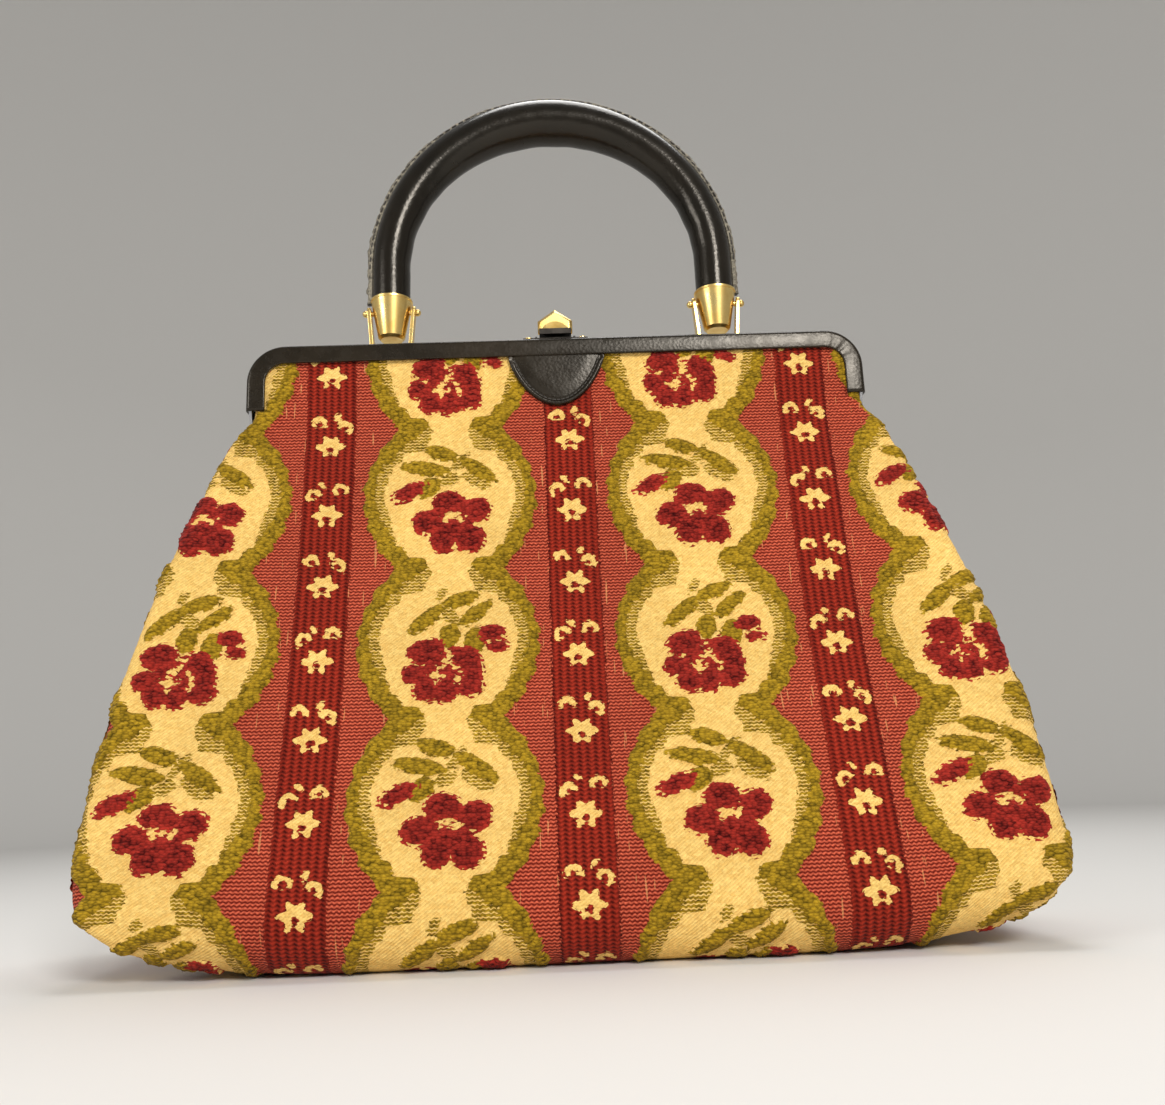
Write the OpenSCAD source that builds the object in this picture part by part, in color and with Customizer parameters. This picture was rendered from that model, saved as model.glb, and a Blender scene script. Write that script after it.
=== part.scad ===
// Frame handbag in chenille tapestry: a cloth body hung in a hinged, leather-covered
// frame, with one rolled-leather handle on brass fittings and a brass clasp.
// Millimetres. Z is up, the front faces -Y, and the origin is under the middle of the base.

/* [Body] */
// Greatest width of the body
body_w = 304; // [270:1:330]
// Height from the floor to the top of the frame
bag_h = 217; // [190:1:250]
// Depth of the body at the bottom
base_d = 98; // [80:1:120]
// Radius of the front and back bottom edges
edge_r = 16; // [10:1:22]
// Radius of the bottom corners, seen from the front
corner_r = 27.5; // [20:0.5:36]
// Radius with which the bottom bows up towards its ends
bow_r = 290; // [220:5:400]
// Angle of the bottom where the corners begin
bow_angle = 12; // [6:1:16]
// Thickness of the tapestry cloth
cloth_t = 1.5; // [1:0.1:2.2]
// Thickness of the lining
lining_t = 0.5; // [0.3:0.1:1]
// Thickness of the card in the bottom
board_t = 2; // [1:0.1:3]

/* [Frame] */
// Outer length of the frame
frame_l = 229; // [200:1:240]
// Height of the frame's face
frame_face = 6.6; // [5.5:0.1:9]
// Outer radius of the frame's corners
frame_r = 14; // [11:0.5:18]
// Wall of the steel channel
bar_t = 0.8; // [0.6:0.1:1.2]
// Thickness of the leather on the frame
leather_t = 1; // [0.6:0.1:1.4]
// Depth of the hinge below the top of the frame
hinge_drop = 30; // [26:1:40]
// Radius of the hinge eyes
hinge_eye_r = 4; // [3:0.5:5]
// Diameter of the hinge rivets
hinge_rivet_d = 2.6; // [2:0.1:3.4]
// Width of the leather tab under the frame
tab_w = 36; // [24:1:48]
// Length of the leather tab
tab_l = 19.6; // [12:0.1:21]
// Thickness of the leather tab
tab_t = 1.4; // [1:0.1:2]

/* [Pattern] */
// Height of the raised pile
pile_h = 0.8; // [0.4:0.1:1.2]
// Distance between the columns of medallions
column_pitch = 87; // [75:1:100]
// Middle of the first column right of the bag's middle
column_x = 47.2; // [40:0.1:54]
// Distance between the necks of a column
row_pitch = 54.8; // [48:0.1:62]
// Half of a column's width at its necks
medal_neck = 17; // [13:0.5:20]
// Swell of that half-width between the necks
medal_swell = 15; // [10:0.5:17]
// Width of the medallions' border
border_w = 6; // [4:0.5:8]
// Width of the band between the columns
band_w = 19; // [14:1:22]

/* [Handle] */
// Distance between the middles of the handle's legs
handle_span = 125; // [100:1:150]
// Height of the handle's middle line at the crown above its pins
handle_rise = 80.2; // [70:0.1:110]
// Diameter of the rolled handle at its legs
tube_d = 14.2; // [11:0.1:17]
// Diameter of the rolled handle at its crown
crown_d = 17.6; // [14:0.1:20]
// Leather thickness of the handle
tube_t = 1.2; // [0.8:0.1:1.8]
// Thickness of the sewn welt
welt_t = 2.4; // [1.6:0.1:3.2]
// Height of the welt above the tube
welt_h = 2; // [1.5:0.1:3.5]

/* [Handle fittings] */
// Height of the handle's pins above the frame
pin_rise = 16.3; // [15:0.1:20]
// Diameter of the handle's pins
pin_d = 2; // [1.6:0.1:2.4]
// Diameter of the knobs at the pins' ends
ball_d = 2.7; // [2.5:0.1:3.6]
// Height of a ferrule's rim above its pin
ferrule_up = 4.8; // [4.5:0.1:6]
// Depth of a ferrule below its pin
ferrule_down = 11.2; // [9:0.1:12]
// Radius of a ferrule at its foot
ferrule_foot_r = 5.1; // [4:0.1:6]
// Thickness of the brackets' brass strip
ear_t = 1.3; // [1:0.1:1.6]
// Width of the brackets' brass strip
ear_w = 5; // [4:0.1:6]
// Outward lean of the bracket ears
ear_lean = 4.8; // [0:0.1:7]

/* [Clasp] */
// Width of the clasp's head
head_w = 13.1; // [10:0.1:16]
// Depth of the clasp's head
head_d = 6.6; // [5:0.1:8]
// Height of the clasp's head at its ridge
head_h = 8; // [6:0.1:9]
// Height of the head's sides
head_side = 3.4; // [2:0.1:4.5]
// Bevel round the head's front and back
head_bevel = 1.2; // [0.6:0.1:1.6]
// Width of the thumb hollow in the head's front
hollow_w = 10; // [7:0.1:11]
// Height of the thumb hollow
hollow_h = 2.8; // [1.5:0.1:4]
// Width of the clasp's lever
lever_w = 12; // [9:0.1:14]
// Height of the head's underside above the frame
head_rise = 5.2; // [4.8:0.1:7]
// Diameter of the clasp's pin
clasp_pin_d = 1.6; // [1.2:0.1:2]

/* [Hidden] */
$fn = 48;

// Clearances
seam = 0.1;
loose = 0.35;
running = 0.05;
hook_gap = 0.3;
halves_gap = 0.4;

// Frame section, as distances from the middle plane between the halves
cover_in = halves_gap / 2;
bar_in = cover_in + leather_t + seam / 2;
channel_in = bar_in + bar_t;
lining_in = channel_in + loose;
cloth_in = lining_in + lining_t + loose;
cloth_out = cloth_in + cloth_t;
channel_out = cloth_out + loose;
bar_out = channel_out + bar_t;
cover_out = bar_out + seam / 2 + leather_t;
half_mid = (cover_in + cover_out) / 2;

// Frame outline, as insets from its outer edge
bar_inset = leather_t + seam / 2;
channel_inset = bar_inset + bar_t;
rivet_tail = 0.6;
edge_inset = channel_inset + rivet_tail + loose;
corner_x = frame_l / 2 - frame_r;
corner_z = bag_h - frame_r;

// Hinge
hinge_z = bag_h - hinge_drop;
hinge_room = 1;
arm_end_z = hinge_z + hinge_eye_r + hinge_room;
arm_l = corner_z - arm_end_z;
eye_t = 1;
eye_gap = 0.4;
eye_lap = 3;
front_eye_x = frame_l / 2 - bar_inset - eye_t;
back_eye_x = front_eye_x - eye_gap - eye_t;
rivet_head_t = 1.2;
rivet_head_r = hinge_rivet_d / 2 + 1.2;
rivet_play = 0.2;

// Body outline seen from the front
flare = 1.5;
body_top_z = hinge_z - hinge_eye_r - hinge_room;
bow_end = [sin(bow_angle), -cos(bow_angle)];
corner_centre_x = body_w / 2 - corner_r;
bow_centre = [corner_centre_x - (bow_r - corner_r) * bow_end.x, bow_r];
corner_centre = [corner_centre_x, bow_r + (bow_r - corner_r) * bow_end.y];
side_run = body_w / 2 - frame_l / 2 - flare;
side_climb = hinge_z - corner_centre.y;
side_r = (side_run * side_run + side_climb * side_climb) / (2 * side_run);
side_centre = [body_w / 2 - side_r, corner_centre.y];
neck_w = back_eye_x - rivet_play - rivet_head_t - loose;
seam_angle = 0.3;

// Body section seen from the side: upright in the frame, then sloping out to the bottom edge
crease_z = body_top_z;
edge_centre = [base_d / 2 - edge_r, edge_r];
to_edge = edge_centre - [cloth_out, crease_z];
slope = atan2(to_edge.y, to_edge.x) + acos(-edge_r / norm(to_edge));
slope_l = sqrt(to_edge * to_edge - edge_r * edge_r);

// Pattern on the slope, with its heights measured down from the crease
pattern_start = 4;
pattern_end = slope_l - 8;
pattern_steps = 30;
pattern_margin = 2.5;
first_neck = -1;
medal_power = 0.75;
posy_r = 5;
petal_r = 4.6;
petal_ring = 6;
field_h = 0.2;
leaf_share = 0.38;
rose_out = 2;
rose_drop = 9;
bud_out = 16;

// Insets of the inner layers
lining_side = cloth_t + loose;
board_floor = cloth_t + loose;
lining_floor = board_floor + board_t + loose;

// Handle
pin_z = bag_h + pin_rise;
tube_r = tube_d / 2;
core_r = tube_r - tube_t - seam;
tube_sides = 16;
arch_steps = 20;
arch_r = handle_span / 2;
arch_z = pin_z + handle_rise - arch_r;
rim_z = pin_z + ferrule_up;
rim_t = 0.8;
rim_lip = 0.3;
cup_wall = 0.6;
cup_depth = 1.6;
socket_depth = 2.8;
ferrule_top_r = tube_r + seam / 2 + cup_wall;
foot_bevel = 1;

// Brackets, which stand on the back half of the frame
ear_room = 0.8;
ferrule_slope = (ferrule_top_r - ferrule_foot_r) / (ferrule_up + ferrule_down);
ferrule_pin_r = ferrule_top_r - ferrule_slope * ferrule_up;
ear_pin_x = ferrule_pin_r + ear_room;
ear_foot_x = ear_pin_x - (pin_rise - ear_t) * tan(ear_lean);
ear_top_z = pin_rise + ear_w / 2;
ear_top_x = ear_foot_x + (ear_top_z - ear_t) * tan(ear_lean);
ear_out_x = ear_pin_x + ear_t;
knob_seat_x = ear_out_x + ball_d / 2 * tan(ear_lean);
knob_x = ear_out_x + ball_d * 0.3;

// Small rivets through fitting, leather and channel
small_rivet_d = 2;
small_head_d = 3.2;
small_head_t = 0.5;

// Clasp
plate_t = 0.5;
plate_d = half_mid * 1.2;
clasp_pin_y = half_mid + 0.9;
clasp_pin_z = bag_h + 3.6;
boss_r = clasp_pin_d / 2 + 0.9;
clasp_ear_t = 0.8;
clasp_ear_x = max(lever_w, head_w) / 2 + loose;
clasp_plate_w = 2 * (clasp_ear_x + clasp_ear_t) + 2 * small_head_d + 2.4;
clasp_rivet_x = clasp_plate_w / 2 - small_head_d / 2 - 0.4;
catch_top = 1.7;
catch_t = 0.8;
catch_y = half_mid;
lip_t = 1.2;
lip_y = catch_y + catch_t / 2 + 0.7;
arm_low = catch_top + hook_gap + 0.8;
arm_t = 1.4;
stem_t = 3;
roof_angle = atan2(head_h - head_side, head_w / 2);
hollow_r = (hollow_w * hollow_w / 4 + hollow_h * hollow_h) / (2 * hollow_h);
hollow_ball_r = 2 * hollow_r;
hollow_y = -head_d / 2 - sqrt(hollow_ball_r * hollow_ball_r - hollow_r * hollow_r);
spring_t = 0.4;
spring_w = 8;

// Colours
leather_black = [0.15, 0.14, 0.13];
brass = [0.75, 0.58, 0.27];
steel = [0.55, 0.55, 0.56];
dark_steel = [0.13, 0.12, 0.11];
tapestry = [0.66, 0.24, 0.2];
cream = [0.92, 0.78, 0.47];
olive = [0.55, 0.44, 0.12];
crimson = [0.48, 0.12, 0.1];
lining_tan = [0.55, 0.45, 0.33];
card_grey = [0.5, 0.46, 0.4];

// Points on an arc
function arc(centre, radius, from, to, steps) =
    [for (i = [0 : steps]) let (a = from + (to - from) * i / steps) centre + radius * [cos(a), sin(a)]];

function reversed(points) = [for (i = [len(points) - 1 : -1 : 0]) points[i]];

function mirrored(points) = [for (p = reversed(points)) [-p.x, p.y]];

function both_sides(points) = concat(points, mirrored(points));

// Right half of the bowed bottom, of the corner and of the side, set in by an inset
function bow(inset) = arc(bow_centre, bow_r - inset, -90, bow_angle - 90, 5);

function corner(inset) = arc(corner_centre, corner_r - inset, bow_angle - 90 + seam_angle, 0, 7);

function side(inset) =
    arc(side_centre, side_r - inset, 0, asin((body_top_z - side_centre.y) / (side_r - inset)), 9);

function flank(inset) = concat(corner(inset), side(inset));

// The whole bowed bottom from left to right
function floor_line(inset) = concat(mirrored(bow(inset)), bow(inset));

// Half of the section seen from the side
function half_section(inset) = concat(
    arc(edge_centre, edge_r - inset, -90, slope, 8),
    [[cloth_out - inset, crease_z - inset * tan(slope / 2)], [cloth_out - inset, bag_h]]
);

// Extrusions of a front view along Y and of a side view along X
module along_y(length) rotate([90, 0, 0]) linear_extrude(length, center = true) children();

module along_x(length) rotate([90, 0, 90]) linear_extrude(length, center = true) children();

module section_region(inset) along_x(2 * body_w) polygon(both_sides(half_section(inset)));

// Cloth seen from the front: the body, a neck between the hinges and a top held in the frame
module cloth_outline(inset) {
    frame_w = frame_l / 2 - edge_inset;
    top_r = frame_r - edge_inset;
    top_z = bag_h - edge_inset;
    grip_z = arm_end_z + eye_lap + loose;
    polygon(both_sides(concat(bow(inset), flank(inset))));
    translate([-neck_w, body_top_z - hinge_room]) square([2 * neck_w, grip_z - body_top_z + 2 * hinge_room]);
    translate([-frame_w, grip_z]) square([2 * frame_w, corner_z - grip_z]);
    translate([-corner_x, grip_z]) square([2 * corner_x, top_z - grip_z]);
    for (x = [-corner_x, corner_x]) translate([x, corner_z]) circle(top_r);
}

// Everything above the bottom cloth, open past the corners
module above_floor(inset) {
    corner_start = bow_centre + (bow_r + 2) * bow_end;
    polygon(both_sides(concat(bow(inset), [corner_start, [body_w, corner_start.y], [body_w, 2 * bag_h]])));
}

// Front half of a layer that runs from the frame down and under the bottom
module front_layer(side_inset, floor_inset, thickness) difference() {
    intersection() {
        along_y(2 * base_d) cloth_outline(floor_inset);
        section_region(side_inset);
        translate([-body_w, -base_d - seam / 2, 0]) cube([2 * body_w, base_d, bag_h]);
    }
    intersection() {
        along_y(2 * base_d) above_floor(floor_inset + thickness);
        section_region(side_inset + thickness);
    }
}

// Strip that closes the right side between two layers
module side_strip(inset, thickness, section_inset) intersection() {
    along_y(2 * base_d) polygon(concat(flank(inset), reversed(flank(inset + thickness))));
    section_region(section_inset);
}

// Half-width of a column of medallions at a distance down the slope
function medal_half(drop) =
    medal_neck + medal_swell * pow(abs(sin(180 * (drop - first_neck) / row_pitch)), medal_power);

// Shape between two wavy edges of a column, each on one side and set in by an inset
module medal_strip(centre, side_a, inset_a, side_b, inset_b) {
    drops = [for (i = [0 : pattern_steps]) pattern_start + (pattern_end - pattern_start) * i / pattern_steps];
    polygon(concat(
        [for (d = drops) [centre + side_a * (medal_half(d) - inset_a), -d]],
        [for (d = reversed(drops)) [centre + side_b * (medal_half(d) - inset_b), -d]]
    ));
}

// Lens-shaped leaf of a given length and width
module leaf(length, width) {
    radius = (length * length / 4 + width * width / 4) / width;
    half_angle = asin(length / 2 / radius);
    upper = arc([0, width / 2 - radius], radius, 90 - half_angle, 90 + half_angle, 4);
    polygon(concat([for (i = [0 : 3]) upper[i]], [for (i = [0 : 3]) -upper[i]]));
}

// Flower of five petals with an open eye, and a bud beside it
module rose() difference() {
    for (i = [0 : 4]) rotate(90 + 72 * i) translate([petal_ring, 0]) circle(petal_r, $fn = 10);
    circle(petal_r / 3, $fn = 8);
}

module bud() circle(petal_r, $fn = 8);

module posy() polygon([for (i = [0 : 9]) posy_r * (i % 2 == 0 ? 1 : 0.5) * [sin(36 * i), cos(36 * i)]]);

// Middles of the columns and of the medallions in them, each with the side on which its bud stands
columns = [for (i = [-2 : 1]) column_x + column_pitch * i];
last_middle = pattern_end - rose_drop - petal_ring - petal_r;
medallions = [for (row = [0 : floor((last_middle - first_neck) / row_pitch - 0.5)])
    [first_neck + row_pitch * (row + 0.5), row % 2 == 0 ? -1 : 1]];
leaves = [[-4, 12, -24, 16], [6, 14, 20, 13], [13, 7, -8, 12], [-2, 4, 40, 9]];

module fields() for (x = columns) medal_strip(x, 1, border_w / 2, -1, border_w / 2);

module borders() for (x = columns) for (side = [-1, 1]) medal_strip(x, side, 0, side, border_w);

module sprays() for (x = columns) for (medal = medallions) translate([x, -medal[0]])
    mirror([medal[1] > 0 ? 1 : 0, 0])
        for (place = leaves) translate([place.x, place.y]) rotate(place[2])
            leaf(place[3], place[3] * leaf_share);

module roses() for (x = columns) for (medal = medallions) translate([x, -medal[0]]) {
    translate([-rose_out * medal[1], -rose_drop]) rose();
    translate([bud_out * medal[1], 0]) bud();
}

module bands() for (x = columns) difference() {
    translate([x - (column_pitch + band_w) / 2, -pattern_end]) square([band_w, pattern_end - pattern_start]);
    for (drop = [first_neck + row_pitch / 2 : row_pitch / 2 : pattern_end - 2 * posy_r])
        translate([x - column_pitch / 2, -drop]) posy();
}

// Pile on the front slope, kept off the side seams
module pile(shade, height) color(shade) translate([0, -cloth_out, crease_z]) rotate([90 - slope, 0, 0])
    translate([0, 0, -cloth_t / 2]) linear_extrude(cloth_t / 2 + height) intersection() {
        children();
        polygon(both_sides([for (p = flank(pattern_margin)) [p.x, (p.y - crease_z) / cos(slope)]]));
    }

module patterned_panel() {
    color(tapestry) front_layer(0, 0, cloth_t);
    pile(cream, field_h) fields();
    pile(olive, pile_h) borders();
    pile(olive, pile_h) sprays();
    pile(crimson, pile_h) roses();
    pile(crimson, pile_h) bands();
}

// Cloth and lining
module front_panel() patterned_panel();

module back_panel() mirror([0, 1, 0]) patterned_panel();

module right_gusset() color(tapestry) side_strip(0, cloth_t, cloth_t + seam);

module left_gusset() color(tapestry) mirror([1, 0, 0]) side_strip(0, cloth_t, cloth_t + seam);

module front_lining() color(lining_tan) front_layer(lining_side, lining_floor, lining_t);

module back_lining() color(lining_tan) mirror([0, 1, 0]) front_layer(lining_side, lining_floor, lining_t);

module gusset_lining()
    side_strip(lining_floor - lining_t - seam, lining_t, lining_side + lining_t + seam);

module right_gusset_lining() color(lining_tan) gusset_lining();

module left_gusset_lining() color(lining_tan) mirror([1, 0, 0]) gusset_lining();

// Card that stiffens the bottom, bent to the bow of the cloth under it
module base_board() color(card_grey)
    along_y(2 * edge_centre.x)
        polygon(concat(floor_line(board_floor), reversed(floor_line(board_floor + board_t))));

// U of constant section in the plane of the frame; children are the section,
// with the distance from the corner's centre across and the depth from the middle plane up
module frame_sweep() rotate([90, 0, 0]) {
    translate([-corner_x, corner_z, 0]) rotate([90, 0, 90]) linear_extrude(2 * corner_x) children();
    for (m = [0, 1]) mirror([m, 0, 0]) translate([corner_x, corner_z, 0]) {
        rotate_extrude(angle = 90) children();
        rotate([90, 0, 0]) linear_extrude(arm_l) children();
    }
}

module channel_section(inset, depth_in, depth_out, wall) difference() {
    translate([frame_r - frame_face, depth_in]) square([frame_face - inset, depth_out - depth_in]);
    translate([frame_r - frame_face - wall, depth_in + wall])
        square([frame_face - inset, depth_out - depth_in - 2 * wall]);
}

// Hinge eye on both arms, from a plane at eye_x outwards
module hinge_eyes(eye_x) difference() {
    for (m = [0, 1]) mirror([m, 0, 0]) translate([eye_x, 0, 0]) rotate([90, 0, 90]) linear_extrude(eye_t) {
        translate([0, hinge_z]) circle(hinge_eye_r);
        polygon([
            [-bar_in, arm_end_z + eye_lap], [-bar_out, arm_end_z + eye_lap], [-bar_out, arm_end_z],
            [-hinge_eye_r * cos(30), hinge_z - hinge_eye_r * sin(30)], [0, hinge_z],
            [-bar_in, arm_end_z]
        ]);
    }
    hinge_bores(hinge_rivet_d / 2 + running);
}

module hinge_bores(radius) translate([0, 0, hinge_z]) rotate([0, 90, 0])
    cylinder(r = radius, h = 2 * frame_l, center = true);

module frame_bar(eye_x) {
    frame_sweep() channel_section(bar_inset, bar_in, bar_out, bar_t);
    hinge_eyes(eye_x);
}

module frame_cover() frame_sweep() channel_section(0, cover_in, cover_out, leather_t);

// Holes down through the top of a frame half
module rivet_holes(places) for (x = places)
    translate([x, -half_mid, bag_h - frame_face])
        cylinder(d = small_rivet_d + 2 * running, h = 2 * frame_face);

back_rivet_places = [-arch_r, -clasp_rivet_x, clasp_rivet_x, arch_r];
front_rivet_places = [-clasp_rivet_x, clasp_rivet_x];

module front_frame_bar() color(steel) difference() {
    frame_bar(front_eye_x);
    rivet_holes(front_rivet_places);
}

module front_frame_cover() color(leather_black) difference() {
    frame_cover();
    rivet_holes(front_rivet_places);
}

module back_frame_bar() color(steel) mirror([0, 1, 0]) difference() {
    frame_bar(back_eye_x);
    rivet_holes(back_rivet_places);
}

module back_frame_cover() color(leather_black) mirror([0, 1, 0]) difference() {
    frame_cover();
    rivet_holes(back_rivet_places);
}

// Rivet on which both halves turn, with a domed head outside and a flat one inside
module hinge_rivet() translate([back_eye_x - rivet_play - rivet_head_t, 0, hinge_z]) rotate([0, 90, 0]) {
    shank_l = front_eye_x + eye_t + rivet_play - back_eye_x + rivet_play;
    cylinder(r = rivet_head_r, h = rivet_head_t);
    cylinder(d = hinge_rivet_d, h = rivet_head_t + shank_l + rivet_head_t / 2);
    translate([0, 0, rivet_head_t + shank_l]) rotate_extrude() intersection() {
        square([rivet_head_r, rivet_head_t]);
        dome_r = (rivet_head_r * rivet_head_r + rivet_head_t * rivet_head_t) / (2 * rivet_head_t);
        translate([0, rivet_head_t - dome_r]) circle(dome_r);
    }
}

module right_hinge_rivet() color(brass) hinge_rivet();

module left_hinge_rivet() color(brass) mirror([1, 0, 0]) hinge_rivet();

// Shield of leather on the cloth under the middle of the frame
module front_tab() color(leather_black) {
    steps = 14;
    fall = 1.37;
    shield = [for (i = [0 : steps]) let (s = 1 - pow(1 - i / steps, 2))
        [tab_w / 2 * sqrt(1 - pow(s, fall)), -s * tab_l]];
    translate([0, -cloth_out - loose - tab_t / 2, bag_h - frame_face - seam])
        along_y(tab_t) polygon(both_sides(shield));
}

// Rings of the handle from its right foot over the crown to its left foot, as [x, z, angle, welt]
function leg_ring(side, z, welt) = [side * arch_r, z, 90 - 90 * side, welt];

function arch_rings(welt) = [for (i = [0 : arch_steps]) let (angle = 180 * i / arch_steps)
    [arch_r * cos(angle), arch_z + arch_r * sin(angle), angle, welt]];

function core_rings() = concat(
    [leg_ring(1, rim_z - socket_depth, 0)], arch_rings(0), [leg_ring(-1, rim_z - socket_depth, 0)]
);

function welt_end(side) = [
    leg_ring(side, rim_z - cup_depth, 0),
    leg_ring(side, rim_z + seam, 0),
    leg_ring(side, rim_z + 2 * seam, welt_h)
];

function cover_rings() = concat(welt_end(1), arch_rings(welt_h), reversed(welt_end(-1)));

function inner_rings() = [for (ring = cover_rings()) [ring.x, ring.y, ring[2], 0]];

// Section of a ring, grown towards the crown: a round, with its welt on the outside where it has one
function ring_section(ring, leg_r) = let (
    radius = leg_r + (crown_d - tube_d) / 2 * pow(sin(ring[2]), 2),
    foot = asin(welt_t / 2 / radius),
    tip = ring[3] > 0 ? [radius + ring[3], welt_t / 2] : radius * [cos(foot / 2), sin(foot / 2)]
) concat(
    [[tip.x, -tip.y], tip],
    [for (i = [0 : tube_sides]) let (a = foot + (360 - 2 * foot) * i / tube_sides) radius * [cos(a), sin(a)]]
);

function ring_points(rings, leg_r) = [for (ring = rings) for (p = ring_section(ring, leg_r))
    [ring.x + p.x * cos(ring[2]), half_mid + p.y, ring.y + p.x * sin(ring[2])]];

// Faces between the rings, from the first point on
ring_size = tube_sides + 3;
function wall_faces(count, first, inward) = [for (i = [0 : count - 2]) for (j = [0 : ring_size - 1])
    let (k = (j + 1) % ring_size, a = first + i * ring_size, b = a + ring_size)
        inward ? [a + j, a + k, b + k, b + j] : [a + j, b + j, b + k, a + k]];

module handle_core() color(card_grey) {
    count = len(core_rings());
    polyhedron(ring_points(core_rings(), core_r), concat(
        wall_faces(count, 0, false),
        [[for (j = [0 : ring_size - 1]) j], [for (j = [1 : ring_size]) count * ring_size - j]]
    ));
}

// Rolled leather, fuller at the crown, its two edges sewn together in a welt along the outside
module handle_cover() color(leather_black) {
    count = len(cover_rings());
    inner = count * ring_size;
    last = inner - ring_size;
    points = concat(ring_points(cover_rings(), tube_r), ring_points(inner_rings(), tube_r - tube_t));
    polyhedron(points, concat(
        wall_faces(count, 0, false),
        wall_faces(count, inner, true),
        [for (j = [0 : ring_size - 1]) let (k = (j + 1) % ring_size) [j, k, inner + k, inner + j]],
        [for (j = [0 : ring_size - 1]) let (k = (j + 1) % ring_size)
            [last + k, last + j, inner + last + j, inner + last + k]]
    ));
}

// Tapered brass cup on a leg's end, bored across for its pin
module ferrule(x) color(brass) translate([x, half_mid, pin_z]) difference() {
    rotate_extrude() polygon([
        [0, -ferrule_down], [ferrule_foot_r - foot_bevel, -ferrule_down],
        [ferrule_foot_r, foot_bevel - ferrule_down], [ferrule_top_r, ferrule_up - rim_t],
        [ferrule_top_r + rim_lip, ferrule_up - rim_t], [ferrule_top_r + rim_lip, ferrule_up],
        [tube_r + seam / 2, ferrule_up], [tube_r + seam / 2, ferrule_up - cup_depth],
        [core_r + seam / 2, ferrule_up - cup_depth], [core_r + seam / 2, ferrule_up - socket_depth],
        [0, ferrule_up - socket_depth]
    ]);
    rotate([0, 90, 0]) cylinder(d = pin_d + 2 * running, h = 4 * tube_d, center = true);
}

module left_ferrule() ferrule(-arch_r);

module right_ferrule() ferrule(arch_r);

// Brass strip bent into a foot and two leaning ears with rounded tops
module bracket(x) color(brass) translate([x, half_mid, bag_h]) difference() {
    intersection() {
        along_y(ear_w) polygon(both_sides([
            [0, 0], [ear_foot_x + ear_t, 0], [ear_top_x + ear_t, ear_top_z],
            [ear_top_x, ear_top_z], [ear_foot_x, ear_t], [0, ear_t]
        ]));
        along_x(4 * tube_d) {
            translate([-ear_w / 2, 0]) square([ear_w, pin_rise]);
            translate([0, pin_rise]) circle(d = ear_w);
        }
    }
    translate([0, 0, pin_rise]) rotate([0, 90, 0]) cylinder(d = pin_d, h = 4 * tube_d, center = true);
    cylinder(d = small_rivet_d + 2 * running, h = 3 * ear_t, center = true);
}

module left_bracket() bracket(-arch_r);

module right_bracket() bracket(arch_r);

// Pin across a bracket with a round knob at each end
module handle_pin(x) color(brass) translate([x, half_mid, pin_z]) {
    rotate([0, 90, 0]) cylinder(d = pin_d, h = 2 * knob_x, center = true);
    for (m = [0, 1]) mirror([m, 0, 0]) intersection() {
        translate([knob_x, 0, 0]) sphere(d = ball_d);
        translate([knob_seat_x, -ball_d, -ball_d]) cube(2 * ball_d);
    }
}

module left_handle_pin() handle_pin(-arch_r);

module right_handle_pin() handle_pin(arch_r);

// Small rivet from the top of a fitting down to the inside of the channel
module small_rivet(x, grip) translate([x, half_mid, bag_h]) {
    tail_z = -channel_inset - rivet_tail;
    translate([0, 0, grip]) cylinder(d = small_head_d, h = small_head_t);
    translate([0, 0, tail_z]) cylinder(d = small_rivet_d, h = grip + small_head_t - tail_z);
    translate([0, 0, tail_z]) cylinder(d = cloth_t + loose + lining_t + loose, h = rivet_tail);
}

module back_rivets() color(brass) {
    for (x = [-arch_r, arch_r]) small_rivet(x, ear_t);
    for (x = front_rivet_places) small_rivet(x, plate_t);
}

module front_rivets() color(brass) mirror([0, 1, 0]) for (x = front_rivet_places) small_rivet(x, plate_t);

// Clasp: a base with two ears on the back half, a sprung lever and a catch on the front half
module clasp_plate() difference() {
    translate([-clasp_plate_w / 2, half_mid - plate_d / 2, bag_h]) cube([clasp_plate_w, plate_d, plate_t]);
    for (x = front_rivet_places) translate([x, half_mid, bag_h])
        cylinder(d = small_rivet_d + 2 * running, h = 3 * plate_t, center = true);
}

module clasp_axis(diameter, length) translate([0, clasp_pin_y, clasp_pin_z])
    rotate([0, 90, 0]) cylinder(d = diameter, h = length, center = true);

module clasp_base() color(dark_steel) {
    clasp_plate();
    difference() {
        for (m = [0, 1]) mirror([m, 0, 0]) translate([clasp_ear_x, 0, 0]) rotate([90, 0, 90])
            linear_extrude(clasp_ear_t) {
                translate([clasp_pin_y, clasp_pin_z]) circle(boss_r);
                translate([clasp_pin_y - boss_r, bag_h]) square([2 * boss_r, clasp_pin_z - bag_h]);
            }
        clasp_axis(clasp_pin_d, 2 * clasp_plate_w);
    }
}

module clasp_pin() color(brass) clasp_axis(clasp_pin_d, 2 * (clasp_ear_x + clasp_ear_t) + 1);

// Lever: eye on the pin, an arm to the front with a hook lip, a stem for the head and a short tail
module clasp_lever() color(dark_steel) difference() {
    along_x(lever_w) translate([0, bag_h]) {
        pin_h = clasp_pin_z - bag_h;
        lip_low = catch_top + hook_gap;
        translate([clasp_pin_y, pin_h]) circle(boss_r);
        translate([-lip_y - lip_t, arm_low]) square([clasp_pin_y + lip_y + lip_t, arm_t]);
        translate([-lip_y - lip_t, lip_low]) square([lip_t, arm_low + arm_t - lip_low]);
        translate([-stem_t / 2, arm_low]) square([stem_t, head_rise - arm_low]);
        translate([clasp_pin_y, pin_h - boss_r / 2]) square([boss_r + 0.7, boss_r]);
    }
    clasp_axis(clasp_pin_d + 2 * running, 2 * lever_w);
}

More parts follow.
